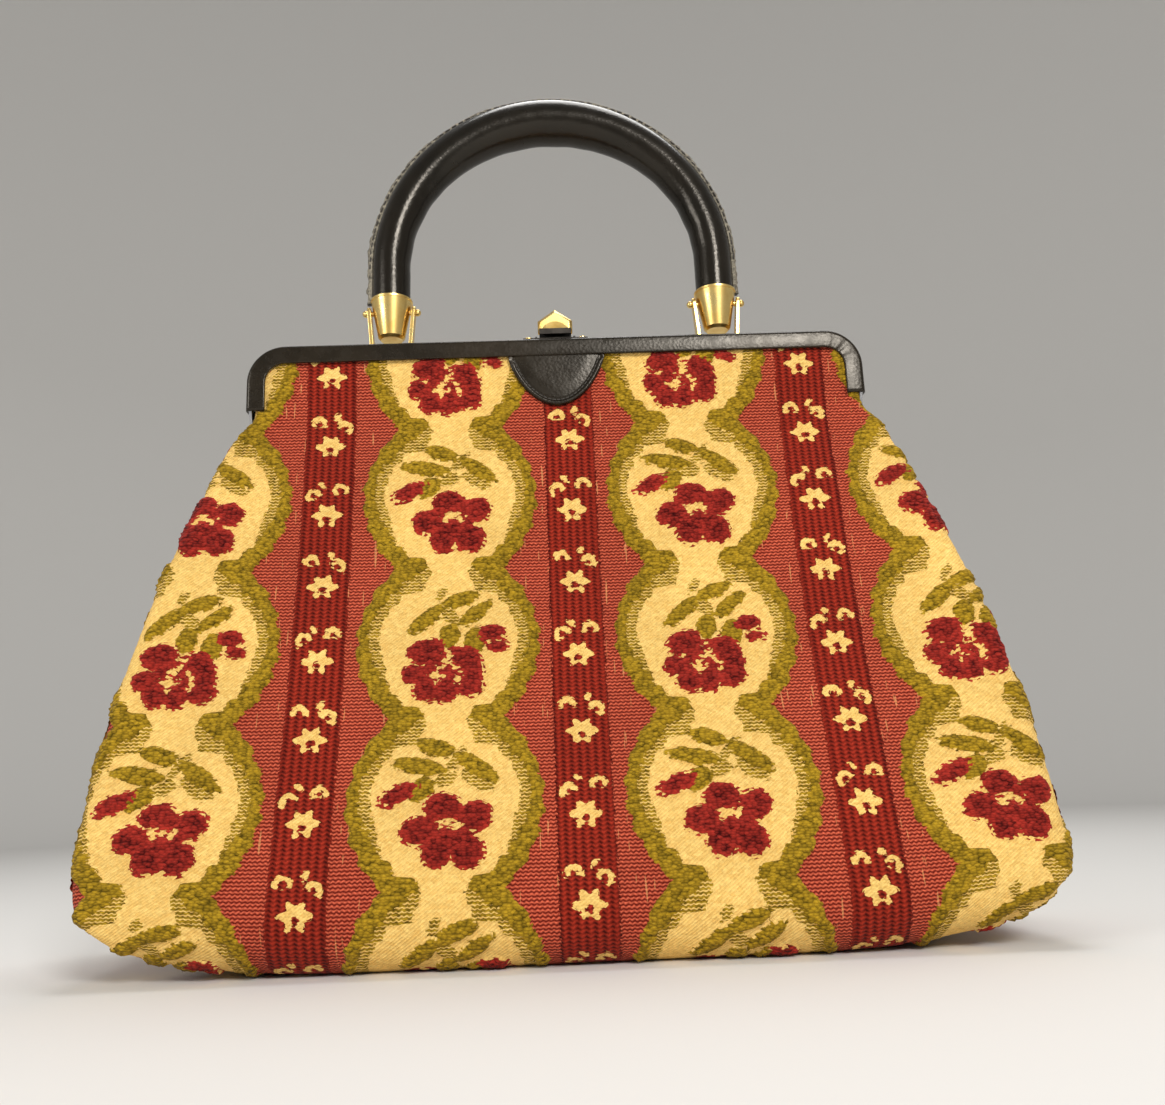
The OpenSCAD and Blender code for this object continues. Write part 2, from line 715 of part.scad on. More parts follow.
// Bar with both its outer edges bevelled, turned to lie along one side of the head
module head_side_bar(turn, reach) rotate([0, turn, 0]) along_x(4 * head_w) polygon(both_sides([
    [head_d / 2, -2 * head_w], [head_d / 2, reach - head_bevel], [head_d / 2 - head_bevel, reach]
]));

// Head: a brass gable with a bevel round it and a hollow for the thumb in its front
module clasp_head() color(brass) translate([0, 0, bag_h + head_rise]) difference() {
    intersection() {
        head_side_bar(-90, head_w / 2);
        head_side_bar(90, head_w / 2);
        head_side_bar(-roof_angle, head_h * cos(roof_angle));
        head_side_bar(roof_angle, head_h * cos(roof_angle));
        translate([-head_w, -head_d, 0]) cube([2 * head_w, 2 * head_d, 2 * head_h]);
    }
    translate([0, hollow_y, hollow_h - hollow_r]) sphere(hollow_ball_r);
}

// Leaf that pushes the lever's tail up
module clasp_spring() color(steel) {
    foot = half_mid - plate_d / 2;
    rise_y = clasp_pin_y + boss_r * 0.35;
    tip_y = clasp_pin_y + boss_r + 0.4;
    tip_z = clasp_pin_z - bag_h - boss_r / 2 - hook_gap - spring_t;
    translate([0, 0, bag_h]) along_x(spring_w) polygon([
        [foot, plate_t], [rise_y, plate_t], [tip_y, tip_z],
        [tip_y, tip_z + spring_t], [rise_y - spring_t, plate_t + spring_t], [foot, plate_t + spring_t]
    ]);
}

module clasp_catch() color(dark_steel) mirror([0, 1, 0]) {
    clasp_plate();
    translate([-lever_w / 2, catch_y - catch_t / 2, bag_h]) cube([lever_w, catch_t, catch_top]);
}

front_panel();
back_panel();
left_gusset();
right_gusset();
front_lining();
back_lining();
left_gusset_lining();
right_gusset_lining();
base_board();
front_frame_bar();
front_frame_cover();
back_frame_bar();
back_frame_cover();
left_hinge_rivet();
right_hinge_rivet();
front_tab();
handle_core();
handle_cover();
left_ferrule();
right_ferrule();
left_bracket();
right_bracket();
left_handle_pin();
right_handle_pin();
front_rivets();
back_rivets();
clasp_base();
clasp_lever();
clasp_head();
clasp_pin();
clasp_spring();
clasp_catch();
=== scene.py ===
"""Looks of a chenille tapestry handbag that hangs in a hinged, leather-covered frame."""

import math

import bpy
import numpy as np
from mathutils import Euler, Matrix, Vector


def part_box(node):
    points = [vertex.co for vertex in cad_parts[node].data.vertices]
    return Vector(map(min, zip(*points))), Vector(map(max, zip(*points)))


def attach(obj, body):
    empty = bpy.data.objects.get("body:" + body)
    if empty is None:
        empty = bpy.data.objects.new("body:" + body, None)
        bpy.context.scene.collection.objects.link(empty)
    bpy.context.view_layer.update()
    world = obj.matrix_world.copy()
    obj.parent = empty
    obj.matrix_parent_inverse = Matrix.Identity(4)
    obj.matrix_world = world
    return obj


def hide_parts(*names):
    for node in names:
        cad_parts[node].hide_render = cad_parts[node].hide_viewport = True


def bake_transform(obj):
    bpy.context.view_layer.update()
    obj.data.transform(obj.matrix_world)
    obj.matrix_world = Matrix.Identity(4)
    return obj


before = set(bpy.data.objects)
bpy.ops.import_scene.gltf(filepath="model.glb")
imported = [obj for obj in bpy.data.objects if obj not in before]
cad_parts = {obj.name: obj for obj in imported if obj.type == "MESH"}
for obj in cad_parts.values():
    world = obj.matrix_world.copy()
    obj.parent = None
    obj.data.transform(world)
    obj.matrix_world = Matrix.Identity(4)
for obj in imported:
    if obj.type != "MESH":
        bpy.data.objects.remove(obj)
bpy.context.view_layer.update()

MM = 0.001
chance = np.random.default_rng(11)


def node_box(name):
    """Lowest and highest corner of a CAD node in millimetres."""
    low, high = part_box(name)
    return np.array(low) / MM, np.array(high) / MM


# Sizes taken from the boxes of the CAD nodes in model.glb, in millimetres
panel_low, panel_high = node_box("front_panel")
cover_low, cover_high = node_box("front_frame_cover")
rivet_low, rivet_high = node_box("right_hinge_rivet")
grip_low, grip_high = node_box("handle_cover")
ferrule_low, ferrule_high = node_box("right_ferrule")
tab_low, tab_high = node_box("front_tab")
body_half_w = panel_high[0]
base_half_d = -panel_low[1]
frame_half_l = cover_high[0]
frame_top = cover_high[2]
arm_end_z = cover_low[2]
cover_out = -cover_low[1]
cover_in = -cover_high[1]
half_mid = (cover_in + cover_out) / 2
hinge_z = (rivet_low[2] + rivet_high[2]) / 2
crease_z = node_box("right_gusset")[1][2]

# Sizes that the boxes don't give, in millimetres
edge_r = 16
corner_r = 27.5
bow_r = 290
bow_angle = math.radians(12)
bow_fade = 60
flare = 1.5
frame_r = 14
frame_face = 6.6
cloth_out = 4.75
held_in = 3
tuck_room = 4
crown_r = 8.8
welt_t = 2.4
welt_h = 2

# Outline of the body seen from the front
corner_x = body_half_w - corner_r
corner_z = bow_r - (bow_r - corner_r) * math.cos(bow_angle)
bow_x = corner_x - (bow_r - corner_r) * math.sin(bow_angle)
side_run = body_half_w - frame_half_l - flare
side_climb = hinge_z - corner_z
side_r = (side_run ** 2 + side_climb ** 2) / (2 * side_run)
side_x = body_half_w - side_r


def smooth(value, start, end):
    """0 before start, 1 after end and an even curve between them."""
    share = np.clip((value - start) / (end - start), 0, 1)
    return share * share * (3 - 2 * share)


def wrap(value, period):
    """The value folded into one period about zero."""
    return (value + period / 2) % period - period / 2


def bow_height(x):
    """Height of the bowed bottom at x."""
    past = np.clip(np.abs(x) - bow_x, 0, bow_r * math.sin(bow_angle))
    return bow_r - np.sqrt(bow_r ** 2 - past ** 2)


def half_width(z):
    """Half of the cloth's width at a height, narrowing above the crease to go into the frame."""
    up = np.clip(z - corner_z, -corner_r, side_r)
    corner = corner_x + np.sqrt(corner_r ** 2 - np.minimum(up, 0) ** 2)
    side = side_x + np.sqrt(side_r ** 2 - np.maximum(up, 0) ** 2)
    body = np.where(up < 0, corner, side)
    held = frame_half_l - held_in
    return body + (held - body) * smooth(z, crease_z - tuck_room, arm_end_z)


def lift(x, z):
    """Rise of the lower body that follows the bowed bottom."""
    fade = np.clip(1 - z / bow_fade, 0, 1) ** 2
    return bow_height(x) * fade


def running_length(line):
    """Distance along a line of points to each of them."""
    return np.concatenate([[0], np.cumsum(np.linalg.norm(np.diff(line, axis=0), axis=1))])


# Meshes and materials
def new_mesh(name, points, faces, smooth_faces=True):
    """An object from points in millimetres and faces."""
    mesh = bpy.data.meshes.new(name)
    mesh.from_pydata((np.asarray(points, float) * MM).tolist(), [], faces)
    mesh.polygons.foreach_set("use_smooth", np.full(len(mesh.polygons), smooth_faces))
    mesh.update()
    piece = bpy.data.objects.new(name, mesh)
    bpy.context.scene.collection.objects.link(piece)
    return piece


def add_vectors(piece, name, vectors):
    """A named vector on each point of a piece."""
    attribute = piece.data.attributes.new(name, "FLOAT_VECTOR", "POINT")
    attribute.data.foreach_set("vector", np.asarray(vectors, np.float32).ravel())


def linear(red, green, blue):
    """Linear colour of an sRGB colour given from 0 to 255."""
    share = np.array([red, green, blue]) / 255
    low = share / 12.92
    high = ((share + 0.055) / 1.055) ** 2.4
    return np.where(share <= 0.04045, low, high)


class Shader:
    """A node material with a Principled shader."""

    def __init__(self, name, **values):
        self.material = bpy.data.materials.new(name)
        self.material.use_nodes = True
        self.tree = self.material.node_tree
        self.surface = self.tree.nodes["Principled BSDF"]
        for socket, value in values.items():
            self.set(socket.replace("_", " "), value)

    def set(self, socket, value):
        """Gives one socket of the surface a constant or a link."""
        self.fill(self.surface.inputs[socket], value)

    def fill(self, socket, value):
        """Gives any socket a constant or a link, and a colour its alpha."""
        if isinstance(value, bpy.types.NodeSocket):
            self.tree.links.new(value, socket)
        elif hasattr(value, "__len__") and len(value) == 3 and socket.type == "RGBA":
            socket.default_value = (*value, 1)
        else:
            socket.default_value = value

    def node(self, kind, inputs=(), **settings):
        """A node with its settings, and its inputs by name or number."""
        made = self.tree.nodes.new(kind)
        for name, value in settings.items():
            setattr(made, name, value)
        for key, value in dict(inputs).items():
            self.fill(made.inputs[key], value)
        return made

    def math(self, operation, *values):
        """One sum with constants or links."""
        made = self.node("ShaderNodeMath", enumerate(values), operation=operation)
        return made.outputs[0]

    def attribute(self, name):
        """The vectors that a piece's points carry under a name."""
        return self.node("ShaderNodeAttribute", attribute_name=name).outputs["Vector"]

    def object_coordinates(self):
        """Places in the piece's own frame, in metres."""
        return self.node("ShaderNodeTexCoord").outputs["Object"]

    def parts(self, vector):
        """The three numbers of a vector."""
        return self.node("ShaderNodeSeparateXYZ", {0: vector}).outputs

    def wave(self, value, pitch):
        """A wave between 0 and 1 with a pitch."""
        turn = self.math("SINE", self.math("MULTIPLY", value, 2 * math.pi / pitch))
        return self.math("MULTIPLY_ADD", turn, 0.5, 0.5)

    def noise(self, vector, scale, detail=3.0, roughness=0.5, dimensions="3D"):
        """Cloudy values about 0.5."""
        inputs = {"Vector": vector, "Scale": scale, "Detail": detail, "Roughness": roughness}
        return self.node("ShaderNodeTexNoise", inputs, noise_dimensions=dimensions).outputs["Fac"]

    def cells(self, vector, scale, randomness=1.0, dimensions="3D"):
        """Distance from the middles of scattered cells, and each cell's own colour."""
        inputs = {"Vector": vector, "Scale": scale, "Randomness": randomness}
        made = self.node("ShaderNodeTexVoronoi", inputs, voronoi_dimensions=dimensions)
        return made.outputs["Distance"], made.outputs["Color"]

    def stretch(self, vector, scale):
        """A vector with each of its numbers scaled."""
        inputs = {"Vector": vector, "Scale": scale}
        return self.node("ShaderNodeMapping", inputs).outputs[0]

    def spread(self, value, low, high, to_low, to_high):
        """A value moved from one range to another and held inside it."""
        inputs = {"Value": value, "From Min": low, "From Max": high, "To Min": to_low, "To Max": to_high}
        return self.node("ShaderNodeMapRange", inputs).outputs[0]

    def mix(self, factor, first, second):
        """A blend of two colours, by the numbers of the node's colour sockets."""
        inputs = {0: factor, 6: first, 7: second}
        return self.node("ShaderNodeMix", inputs, data_type="RGBA").outputs[2]

    def shade(self, colour, factor):
        """A colour made lighter or darker by a factor."""
        inputs = {0: colour, "Scale": factor}
        return self.node("ShaderNodeVectorMath", inputs, operation="SCALE").outputs[0]

    def bump(self, height, distance, strength):
        """Bumps on the surface, with their depth in millimetres."""
        inputs = {"Height": height, "Distance": distance * MM, "Strength": strength}
        self.set("Normal", self.node("ShaderNodeBump", inputs).outputs[0])


# Pattern of the tapestry: chains of medallions between red columns, in millimetres of cloth
column_pitch = 87
row_pitch = 54.8
red_column_x = 3.7
first_neck_z = 183
stitch = 1.2
grid = 0.9
neck_half = 17.7
belly = 13
belly_power = 0.72
scallops = 7
scallop_depth = 0.6
edge_treads = 12
tread_share = 0.6
band_half = 9
chain_pitch = 2.6
bead_pitch = 1.5
slant_pitch = 1.6
twill_pitch = 1.15
knit_pitch = stitch * 1.15
posy_pitch = row_pitch / 2
posy_drop = 6
star_r = 4.3
star_lobes = 6
star_lobe = 1.1
star_squash = 1.15
blossom_r = 3
blossom_hole = 1.2
blossom_cut = 1

# Heights of the pile, widths of its rounded edge and of the ramp between fields, and its unevenness
band_pile = 0.4
rib_pile = 0.45
ground_pile = 0.1
pile_edge = 0.5
pile_crown = 0.85
pile_round = 2.2
pile_ramp = 0.5
pile_ragged = 0.12

# Share of the way down a medallion, then the half widths where its olive rib and its cream begin
edge_steps = [0, 0.06, 0.1, 0.15, 0.17, 0.25, 0.31, 0.4, 0.5, 0.59, 0.66, 0.74, 0.83, 0.89, 0.95, 1]
rib_half = [5.6, 13, 15.4, 17.6, 18, 22.4, 24.6, 26.4, 27, 25.6, 24.4, 21, 18.7, 14.7, 8.4, 5.6]
cream_half = [5.6, 7.2, 8.1, 9, 15.2, 19, 21.2, 22.9, 23.8, 22, 21.2, 20, 18.5, 14.5, 8.4, 5.6]

# Ovals of the two sprays as x, y, length, width and turn, from the middle of a medallion and down
open_leaves = [
    (-3, -17.2, 13, 5.8, 18), (-8.4, -11.2, 18.5, 5.6, 10), (10, -10.4, 17, 5.6, 36),
    (-7.6, -3.6, 10, 7, -38),
]
open_rib_leaves = [(9.8, -6.4, 12, 5.6, 30), (3.3, -13.4, 11, 3.6, -52), (-0.2, -6.8, 8, 4.6, -20)]
open_petals = [
    (-0.7, 2.6, 12, 10, 0), (9.2, 5.4, 11.5, 9.8, -20), (-7.7, 9.5, 12, 9.6, 0), (-2.2, 16, 9.8, 11, 0),
    (6.8, 16, 11.2, 11, 0), (2, 9.5, 13, 11, 0), (-14.7, -2.2, 13.4, 6.2, -26),
]
open_middle = [(1.1, 7.2, 7, 2.4, 0), (-1.4, 8.2, 2.4, 3, 0), (3.8, 8.2, 2.4, 3, 0)]
rose_leaves = [
    (-7.4, -8.2, 16.5, 5.6, -41), (3.8, -15.2, 14.4, 5.4, -21), (8.8, -9.8, 15, 5.2, -38),
    (0.4, -1.9, 7, 9.4, 8), (8.8, 0.4, 7.4, 10.4, 12),
]
rose_rib_leaves = [(-2.8, -17.4, 6, 3.2, -60), (0.4, -9.2, 9, 5, 45)]
rose_petals = [
    (-7.6, 3.6, 13, 9, -15), (5.4, 6.8, 12, 9.4, 24), (-11.4, 12, 8, 8, 0), (-6.6, 17.2, 10, 9, 0),
    (-0.9, 18.4, 8, 7.6, 0), (6.4, 15.8, 11, 9, 0), (8.2, 11.4, 7.4, 12, 0), (-2, 11, 14, 12.6, 0),
    (14.4, -2.6, 9.4, 6.6, 0), (16.2, 2.2, 7.8, 4, 0),
]
rose_middle = [
    (-3.4, 12.4, 5, 2, 0), (-3.4, 12.4, 2, 5.2, 0), (-0.6, 7.4, 6, 1.6, -60), (2.2, 9.8, 4.6, 1.5, 50),
    (3.4, 13.6, 1.6, 3.4, 10),
]

# From the middle of a posy's star and down: side blossoms as x, y and turn, then stem and eye as ovals
posy_blossoms = [(-4.4, -9.2, 0), (4.9, -7.4, 35)]
posy_stem = (2.2, -11.9, 3.4, 2, -55)
posy_eye = (0, 1.3, 2.8, 2.6, 0)


def in_line(x, y, middle_x, middle_y, turn):
    """Places along and beside a line that is turned about a middle."""
    angle = math.radians(turn)
    along = (x - middle_x) * math.cos(angle) + (y - middle_y) * math.sin(angle)
    beside = (y - middle_y) * math.cos(angle) - (x - middle_x) * math.sin(angle)
    return along, beside


def oval(x, y, middle_x, middle_y, length, width, turn):
    """About how far points lie inside an oval, below zero outside it."""
    along, beside = in_line(x, y, middle_x, middle_y, turn)
    return (1 - np.hypot(2 * along / length, 2 * beside / width)) * min(length, width) / 2


def ovals(x, y, shapes):
    """About how far points lie inside at least one of several ovals."""
    return np.maximum.reduce([oval(x, y, *shape) for shape in shapes])


def spray(x, y, leaves, rib_leaves, petals, middle):
    """How far points lie in the solid leaves, the ribbed leaves and the petals of a spray."""
    flower = np.minimum(ovals(x, y, petals), -ovals(x, y, middle))
    return np.stack([ovals(x, y, leaves), ovals(x, y, rib_leaves), flower], -1)


def spray_fields(cloth_x, cloth_y):
    """The open flower's spray in even rows of medallions and the rose's spray in odd ones."""
    across = wrap(cloth_x - column_pitch / 2, column_pitch)
    down = ((cloth_y / row_pitch) % 1 - 0.5) * row_pitch
    is_even = np.floor(cloth_y / row_pitch) % 2 == 0
    open_spray = spray(across, down, open_leaves, open_rib_leaves, open_petals, open_middle)
    rose_spray = spray(across, down, rose_leaves, rose_rib_leaves, rose_petals, rose_middle)
    return np.where(is_even[..., None], open_spray, rose_spray)


def medallion_fields(cloth_x, cloth_y):
    """How far points lie inside a medallion, inside its ribbed border and inside its cream."""
    reach = np.abs(wrap(cloth_x - column_pitch / 2, column_pitch))
    share = (cloth_y / row_pitch) % 1
    tread = (np.floor(share * edge_treads) + 0.5) / edge_treads
    edge = neck_half + belly * np.sin(math.pi * share) ** belly_power
    edge = edge + scallop_depth * np.cos(2 * math.pi * scallops * share)
    stepped = (1 - tread_share) * share + tread_share * tread
    rib = np.interp(stepped, edge_steps, rib_half)
    cream = np.interp(stepped, edge_steps, cream_half)
    return np.stack([edge, rib, cream], -1) - reach[..., None]


def posy_fields(cloth_x, cloth_y):
    """How far points lie inside a posy, and inside the dark band that carries the posies."""
    across = wrap(cloth_x, column_pitch)
    count = np.floor((cloth_y - posy_drop) / posy_pitch + 0.5)
    x = across * np.where(count % 2 == 0, 1, -1)
    y = wrap(cloth_y - posy_drop, posy_pitch)
    star = star_r + star_lobe * np.cos(star_lobes * np.arctan2(y, x)) - np.hypot(x, star_squash * y)
    posy = np.maximum(np.minimum(star, -oval(x, y, *posy_eye)), oval(x, y, *posy_stem))
    for middle_x, middle_y, turn in posy_blossoms:
        reach = np.hypot(x - middle_x, y - middle_y)
        ring = np.minimum(blossom_r - reach, reach - blossom_hole)
        _, low = in_line(x, y, middle_x, middle_y, turn)
        posy = np.maximum(posy, np.minimum(ring, blossom_cut - low))
    return np.stack([posy, band_half - np.abs(across), np.zeros_like(cloth_x)], -1)


def rounded_pile(inside):
    """Height of a thick pile that is lower at its edges."""
    share = np.clip(inside / pile_round, 0, 1)
    return pile_edge + pile_crown * np.sqrt(1 - (1 - share) ** 2)


def pile_height(medallion, leaves, posies):
    """How high the pile stands in each field of the pattern."""
    inside, ribbed, ground = np.moveaxis(medallion, -1, 0)
    leaf, rib_leaf, flower = np.moveaxis(leaves, -1, 0)
    border = np.minimum(inside, -ribbed)
    layers = [
        (posies[..., 1], band_pile), (inside, rounded_pile(border)), (ribbed, rib_pile),
        (ground, ground_pile), (rib_leaf, rib_pile), (leaf, rounded_pile(leaf)),
        (flower, rounded_pile(flower)),
    ]
    height = np.zeros(inside.shape)
    for field, rise in layers:
        height = height + (rise - height) * smooth(field, -pile_ramp, pile_ramp)
    return height


# Body surface: rows run from the frame down and under the bottom, columns run across
crease_r = 60
roll_r = 6
least_roll = 1
roll_fade = 34
sag_depth = 6
sag_low = 14
sag_full = (110, 125)
ripple_depth = 0.7
gusset_sag = 5
top_z = frame_top - 4
settle_steps = 12


def body_section():
    """Depths and heights along the front from the frame to the middle of the bottom."""
    edge = np.array([base_half_d - edge_r, edge_r])
    to_edge = edge - np.array([cloth_out, crease_z])
    slope = math.atan2(to_edge[1], to_edge[0]) + math.acos(-edge_r / np.linalg.norm(to_edge))
    tangent = crease_r * math.tan(slope / 2)
    bend = np.linspace(0, slope, 24)
    crease_middle = np.array([cloth_out + crease_r, crease_z + tangent])
    crease = crease_middle + crease_r * np.stack([-np.cos(bend), -np.sin(bend)], 1)
    turn = np.linspace(slope, -math.pi / 2, 60)
    arc = edge + edge_r * np.stack([np.cos(turn), np.sin(turn)], 1)
    return np.concatenate([[[cloth_out, top_z]], crease, arc, [[0, 0]]])


section_line = body_section()
section_length = running_length(section_line)
section_end = section_length[-1]
neck_down = top_z - first_neck_z


def along_section(down):
    """Depth and height at distances down the section, held between its ends."""
    return [np.interp(down, section_length, section_line[:, k]) for k in (0, 1)]


def section_rows(spacing):
    """Columns with the distance down, depth, height and outward direction of rows of one spacing."""
    count = int(round(section_end / spacing)) + 1
    down = np.linspace(0, section_end, count)[:, None]
    depth, height = along_section(down)
    near = 1.5
    depth_ahead, height_ahead = along_section(down + near)
    depth_behind, height_behind = along_section(down - near)
    run = depth_ahead - depth_behind
    rise = height_ahead - height_behind
    norm = np.hypot(run, rise)
    return np.stack([down, depth, height, -rise / norm, run / norm])


def row_limit(height):
    """Half of the cloth's width in each row, where the bowed bottom lifts it."""
    limit = half_width(height)
    for _ in range(settle_steps):
        limit = half_width(height + lift(limit, height))
    return limit


def sag(x, limit, height):
    """How far the slack cloth has sunk in."""
    middle = 1 - np.clip(np.abs(x) / limit, 0, 1) ** 2
    tall = smooth(height, sag_low, sag_full[0]) * (1 - smooth(height, sag_full[1], crease_z + tuck_room))
    ripple = ripple_depth * np.sin(x / 23 + height / 31) * np.sin(height / 27 - x / 61)
    return sag_depth * middle * tall + ripple * tall


def edge_roll(height):
    """Radius of the cloth's rolled edge at a height, least at the crease."""
    return least_roll + (roll_r - least_roll) * smooth(crease_z - height, 0, roll_fade)


def row_columns(half, spacing):
    """Places across rows of given half widths, with the first and last column that each row needs."""
    columns = 2 * int(math.ceil(half.max() / spacing)) + 1
    across = (np.arange(columns) - columns // 2) * spacing
    first = columns // 2 - np.ceil(half[:, 0] / spacing).astype(int)
    return np.clip(across, -half, half), first, columns - 1 - first


def body_sheet(spacing, inset):
    """Grid of points on the front of the body, the way out, and places across and down the cloth."""
    down, depth, height, out_depth, out_height = section_rows(spacing)
    limit = row_limit(height) - inset
    roll = edge_roll(height)
    flat = limit - roll
    across, first, last = row_columns(flat + roll * math.pi / 2, spacing)
    turn = np.clip((np.abs(across) - flat) / roll, 0, math.pi / 2)
    x = np.sign(across) * (np.minimum(np.abs(across), flat) + roll * np.sin(turn))
    sunk = roll * (1 - np.cos(turn)) + inset + sag(x, limit, height)
    y = -(depth - out_depth * sunk)
    z = height - out_height * sunk + lift(x, height)
    outward = [np.sign(across) * np.sin(turn), -out_depth * np.cos(turn), out_height * np.cos(turn)]
    down = np.broadcast_to(down, across.shape)
    return np.stack([x, y, z], -1), np.stack(outward, -1), across, down, first, last


def grid_faces(shape, first, last, flip):
    """Faces of a grid whose rows are narrowed to their columns from first to last."""
    rows, columns = shape
    index = np.clip(np.arange(columns)[None, :], first[:, None], last[:, None])
    index = index + np.arange(rows)[:, None] * columns
    corners = np.stack([index[:-1, :-1], index[1:, :-1], index[1:, 1:], index[:-1, 1:]], -1).reshape(-1, 4)
    if flip:
        corners = corners[:, ::-1]
    faces = [list(dict.fromkeys(corner)) for corner in corners.tolist()]
    return [face for face in faces if len(face) > 2]


def grid_piece(name, points, first, last, flip):
    """A mesh from a narrowed grid, with the grid's number for each of its points."""
    faces = grid_faces(points.shape[:2], first, last, flip)
    used = np.unique(np.concatenate([np.array(face) for face in faces]))
    place = np.full(points.shape[0] * points.shape[1], -1)
    place[used] = np.arange(len(used))
    place = place.tolist()
    faces = [[place[k] for k in face] for face in faces]
    return new_mesh(name, points.reshape(-1, 3)[used], faces), used


def tapestry_piece(name, points, outward, cloth_x, cloth_y, first, last, plain):
    """A woven piece whose pile stands up from its surface, apart from where it is pressed plain."""
    fields = {
        "medallion": medallion_fields(cloth_x, cloth_y),
        "spray": spray_fields(cloth_x, cloth_y),
        "posy": posy_fields(cloth_x, cloth_y),
    }
    pile = pile_height(*fields.values())
    ragged = chance.normal(0, pile_ragged, pile.shape) * (0.4 + pile)
    raised = points + outward * ((pile + ragged) * (1 - plain))[..., None]
    piece, used = grid_piece(name, raised, first, last, False)
    fields["cloth"] = np.stack([cloth_x, cloth_y, np.zeros_like(cloth_x)], -1)
    for field, values in fields.items():
        add_vectors(piece, field, values.reshape(-1, 3)[used])
    piece.data.materials.append(tapestry)
    return piece


def make_tapestry():
    """Chenille tapestry: each field of the pattern has its own weave and a ragged edge."""
    made = Shader("chenille_tapestry", Roughness=0.9, Specular_IOR_Level=0.08)
    made.set("Sheen Weight", 0.05)
    made.set("Sheen Roughness", 0.5)
    cloth = made.attribute("cloth")
    across, down, _ = made.parts(cloth)
    border, ribbed, ground = made.parts(made.attribute("medallion"))
    leaf, rib_leaf, flower = made.parts(made.attribute("spray"))
    posy, band, _ = made.parts(made.attribute("posy"))

    places, tuft_colour = made.cells(made.stretch(cloth, (0.66, 1.2, 1.0)), 1.0, 0.8, "2D")
    tuft = made.spread(places, 0.0, 0.75, 1.0, 0.0)
    pick, pick_again, _ = made.parts(tuft_colour)
    loose = made.math("SUBTRACT", pick, 0.5)
    grain = made.noise(cloth, 0.9, 3.0, 0.6, "2D")
    broad = made.noise(cloth, 0.03, 2.0, 0.5, "2D")

    slant = made.math("MULTIPLY_ADD", made.wave(across, slant_pitch), 0.3, down)
    rib = made.wave(made.math("MULTIPLY_ADD", grain, 0.5, slant), stitch)
    chain = made.wave(made.math("MULTIPLY_ADD", grain, 0.8, across), chain_pitch)
    lean = made.math("PINGPONG", across, chain_pitch / 2)
    course = made.math("MULTIPLY_ADD", grain, 0.5, down)
    knit = made.wave(made.math("MULTIPLY_ADD", lean, 0.5, course), knit_pitch)
    chain = made.math("MULTIPLY_ADD", knit, 0.5, made.math("MULTIPLY", chain, 0.5))
    twill = made.wave(made.math("MULTIPLY_ADD", across, 0.8, down), twill_pitch)
    twill = made.math("MULTIPLY_ADD", pick_again, 0.6, made.math("MULTIPLY", twill, 0.4))
    # Painted shade: half of this tone darkens each tuft from its middle to its edges. The other half is
    # each tuft's own random tone.
    tone_and_tuft_shade = made.math("MULTIPLY_ADD", tuft, 0.5, made.math("MULTIPLY", pick_again, 0.5))
    stripe = made.spread(made.math("MULTIPLY_ADD", loose, 0.4, rib), 0.55, 0.85, 0.0, 0.9)

    # Each weave's colour below runs from dark where its bumps are low to pale where they are high. This is
    # painted shade in the grooves between stitches and tufts and painted highlight on their tops, laid over
    # the threads' own colours and random tone.
    beads = made.wave(made.math("MULTIPLY_ADD", down, 0.6, across), bead_pitch)
    beads_and_groove_shade = made.math("MULTIPLY", rib, made.spread(beads, 0.0, 1.0, 0.6, 1.0))
    red = made.mix(beads_and_groove_shade, linear(100, 18, 8), linear(228, 106, 76))
    fleck = made.noise(made.stretch(cloth, (0.9, 0.07, 1.0)), 1.0, 1.0, 0.5, "2D")
    red = made.mix(made.spread(fleck, 0.74, 0.78, 0.0, 0.5), red, linear(240, 170, 110))
    deep_red = made.mix(chain, linear(62, 8, 4), linear(168, 49, 31))
    # Painted shade: the dark band's colour is made darker towards its edges, down to 0.62 of it at the
    # edges.
    deep_red = made.shade(deep_red, made.spread(band, 0.0, 1.6, 0.62, 1.0))
    cream = made.mix(twill, linear(224, 176, 92), linear(250, 212, 126))
    olive = made.mix(tone_and_tuft_shade, linear(68, 54, 4), linear(196, 156, 38))
    striped = made.mix(stripe, olive, cream)
    blush_and_tuft_shade = made.math("ADD", tone_and_tuft_shade, made.spread(flower, 0.0, 2.5, 0.2, -0.12))
    crimson = made.mix(blush_and_tuft_shade, linear(58, 6, 6), linear(182, 52, 40))

    # Each layer covers those before it: its field, the raggedness of its edge, its colour and its bumps
    edge_blur = 0.12
    colour = red
    height = rib
    layers = [
        (band, 0.8, deep_red, chain), (posy, 0.9, cream, tuft), (border, 0.9, olive, tuft),
        (ribbed, 1.2, striped, rib), (ground, 1.0, cream, twill), (rib_leaf, 1.0, striped, rib),
        (leaf, 0.8, olive, tuft), (flower, 1.5, crimson, tuft),
    ]
    for field, ragged, layer_colour, layer_height in layers:
        inside = made.math("MULTIPLY_ADD", loose, ragged, field)
        share = made.spread(inside, -edge_blur, edge_blur, 0.0, 1.0)
        colour = made.mix(share, colour, layer_colour)
        height = made.mix(share, height, layer_height)
    colour = made.shade(colour, made.spread(grain, 0.3, 0.7, 0.88, 1.12))
    made.set("Base Color", made.shade(colour, made.spread(broad, 0.3, 0.7, 0.94, 1.06)))
    made.bump(made.math("MULTIPLY_ADD", grain, 0.4, height), 0.5, 0.7)
    return made.material


